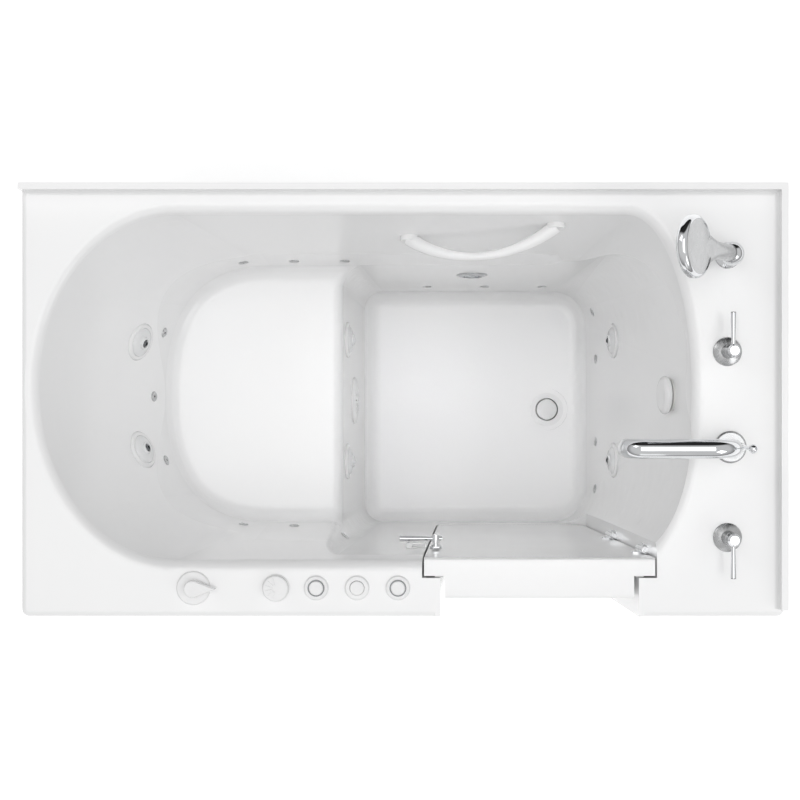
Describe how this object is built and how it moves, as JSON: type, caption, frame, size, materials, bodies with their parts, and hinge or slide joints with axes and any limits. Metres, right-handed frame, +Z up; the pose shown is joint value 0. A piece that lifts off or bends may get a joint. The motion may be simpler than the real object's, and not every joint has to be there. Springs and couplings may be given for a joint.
{
  "type": "walk-in jetted bathtub",
  "caption": "White walk-in jetted tub with an inward swinging door, contoured seat, deck faucet, hand shower, jets and deck controls.",
  "frame": {"origin": "on the floor under the middle of the tub's box", "axes": "+X to the faucet end, +Y to the wall behind the tub, +Z up"},
  "size_m": [1.346, 0.762, 1.1501],
  "materials": {
    "acrylic": "moulded gloss",
    "panel": "gloss",
    "white_trim": "gloss",
    "jet_trim": "plated gloss",
    "chrome": "polished",
    "steel": "brushed",
    "frame": "powder coat",
    "seal": "soft",
    "lens": "clear",
    "aerator": "fine mesh",
    "motor": "satin",
    "wet_end": "moulded",
    "blower": "moulded",
    "case": "moulded",
    "pipe": "extruded",
    "brass": "cast"
  },
  "bodies": {
    "tub": {"tub_shell": "acrylic", "front_apron": "panel", "left_end_panel": "panel", "apron_screws": "steel", "support_frame": "frame", "levelling_feet": "steel", "foot_lock_nuts": "steel", "hinge_frame_leaves": "chrome", "hinge_pins": "chrome", "latch_keeper": "chrome", "jet_wall_fittings": "white_trim", "suction_cover": "white_trim", "suction_body": "pipe", "air_injectors": "white_trim", "light_bezel": "steel", "light_lens": "lens", "overflow_body": "pipe", "drain_flange": "chrome", "grab_bar": "white_trim", "faucet_escutcheons": "chrome", "spout_base": "chrome", "spout": "chrome", "spout_aerator": "aerator", "shower_holder": "chrome", "diverter_base": "white_trim", "air_control_base": "white_trim", "button_bezels": "white_trim", "button_rings": "chrome", "pump_motor": "motor", "pump_wet_end": "wet_end", "air_blower": "blower", "control_box": "case", "suction_pipe": "pipe", "pressure_manifold": "pipe", "air_manifold": "pipe", "waste_pipe": "pipe", "faucet_valves": "brass"},
    "door": {"door_panel": "acrylic", "door_seal": "seal", "hinge_door_leaves": "chrome", "latch_rosette": "chrome"},
    "latch": {"latch_lever": "chrome", "latch_cam": "chrome"},
    "overflow_knob": {"overflow_cap": "white_trim"},
    "stopper": {"drain_stopper": "chrome"},
    "hot_handle": {"hot_lever": "chrome"},
    "cold_handle": {"cold_lever": "chrome"},
    "pull_rod": {"diverter_rod": "chrome"},
    "shower": {"hand_shower": "chrome"},
    "flow_selector": {"diverter_knob": "white_trim"},
    "air_dial": {"air_control_knob": "white_trim"},
    "push_1": {"button_1": "white_trim"},
    "push_2": {"button_2": "white_trim"},
    "push_3": {"button_3": "white_trim"},
    "jet_1": {"jet_face_1": "jet_trim"},
    "jet_2": {"jet_face_2": "jet_trim"},
    "jet_3": {"jet_face_3": "jet_trim"},
    "jet_4": {"jet_face_4": "jet_trim"},
    "jet_5": {"jet_face_5": "jet_trim"},
    "jet_6": {"jet_face_6": "jet_trim"}
  },
  "joints": [
    {"name": "door_swing", "type": "hinge", "parent": "tub", "child": "door", "pos_m": [0.43999, -0.27, 0.94], "axis": [-0.0593, 0, -0.9982], "range_deg": [0, 90]},
    {"name": "latch_turn", "type": "hinge", "parent": "door", "child": "latch", "pos_m": [0.062, -0.277, 0.76], "axis": [0, -1, 0], "range_deg": [0, 90]},
    {"name": "jet_turn_1", "type": "hinge", "parent": "tub", "child": "jet_1", "pos_m": [-0.5089, 0.1135, 0.66168], "axis": [0.8672, -0.2927, 0.4028], "range_deg": [0, 90]},
    {"name": "jet_turn_2", "type": "hinge", "parent": "tub", "child": "jet_2", "pos_m": [-0.50435, -0.09543, 0.66165], "axis": [0.86, 0.3362, 0.384], "range_deg": [0, 90]},
    {"name": "jet_turn_3", "type": "hinge", "parent": "tub", "child": "jet_3", "pos_m": [0.44724, 0.127, 0.38219], "axis": [-0.9939, 0, 0.1106], "range_deg": [0, 90]},
    {"name": "jet_turn_4", "type": "hinge", "parent": "tub", "child": "jet_4", "pos_m": [0.44724, -0.127, 0.38219], "axis": [-0.9939, 0, 0.1106], "range_deg": [0, 90]},
    {"name": "jet_turn_5", "type": "hinge", "parent": "tub", "child": "jet_5", "pos_m": [-0.11361, 0.127, 0.43216], "axis": [0.9954, 0, 0.0954], "range_deg": [0, 90]},
    {"name": "jet_turn_6", "type": "hinge", "parent": "tub", "child": "jet_6", "pos_m": [-0.11361, -0.127, 0.43216], "axis": [0.9954, 0, 0.0954], "range_deg": [0, 90]},
    {"name": "overflow_turn", "type": "hinge", "parent": "tub", "child": "overflow_knob", "pos_m": [0.52231, 0.01, 0.80106], "axis": [-0.9939, 0, 0.1106], "range_deg": [0, 90]},
    {"name": "stopper_lift", "type": "slide", "parent": "tub", "child": "stopper", "axis": [0, 0, 1], "range_m": [0, 0.01]},
    {"name": "hot_turn", "type": "hinge", "parent": "tub", "child": "hot_handle", "pos_m": [0.571, 0.086, 0.94], "axis": [0, 0, 1], "range_deg": [0, 90]},
    {"name": "cold_turn", "type": "hinge", "parent": "tub", "child": "cold_handle", "pos_m": [0.571, -0.241, 0.94], "axis": [0, 0, -1], "range_deg": [0, 90]},
    {"name": "pull_lift", "type": "slide", "parent": "tub", "child": "pull_rod", "axis": [0, 0, 1], "range_m": [0, 0.015]},
    {"name": "shower_lift", "type": "slide", "parent": "tub", "child": "shower", "axis": [-0.5878, 0, 0.809], "range_m": [0, 0.15]},
    {"name": "flow_turn", "type": "hinge", "parent": "tub", "child": "flow_selector", "pos_m": [-0.369, -0.33, 0.94], "axis": [0, 0, 1], "range_deg": [-90, 90]},
    {"name": "air_turn", "type": "hinge", "parent": "tub", "child": "air_dial", "pos_m": [-0.224, -0.33, 0.94], "axis": [0, 0, 1], "range_deg": [0, 270]},
    {"name": "push_travel_1", "type": "slide", "parent": "tub", "child": "push_1", "axis": [0, 0, -1], "range_m": [0, 0.004], "stiffness_N_per_m": 300, "springref_m": -0.004},
    {"name": "push_travel_2", "type": "slide", "parent": "tub", "child": "push_2", "axis": [0, 0, -1], "range_m": [0, 0.004], "stiffness_N_per_m": 300, "springref_m": -0.004},
    {"name": "push_travel_3", "type": "slide", "parent": "tub", "child": "push_3", "axis": [0, 0, -1], "range_m": [0, 0.004], "stiffness_N_per_m": 300, "springref_m": -0.004}
  ],
  "couplings": [
    {"joint": "stopper_lift", "follows": "overflow_turn", "m_per_rad": 0.006366}
  ]
}
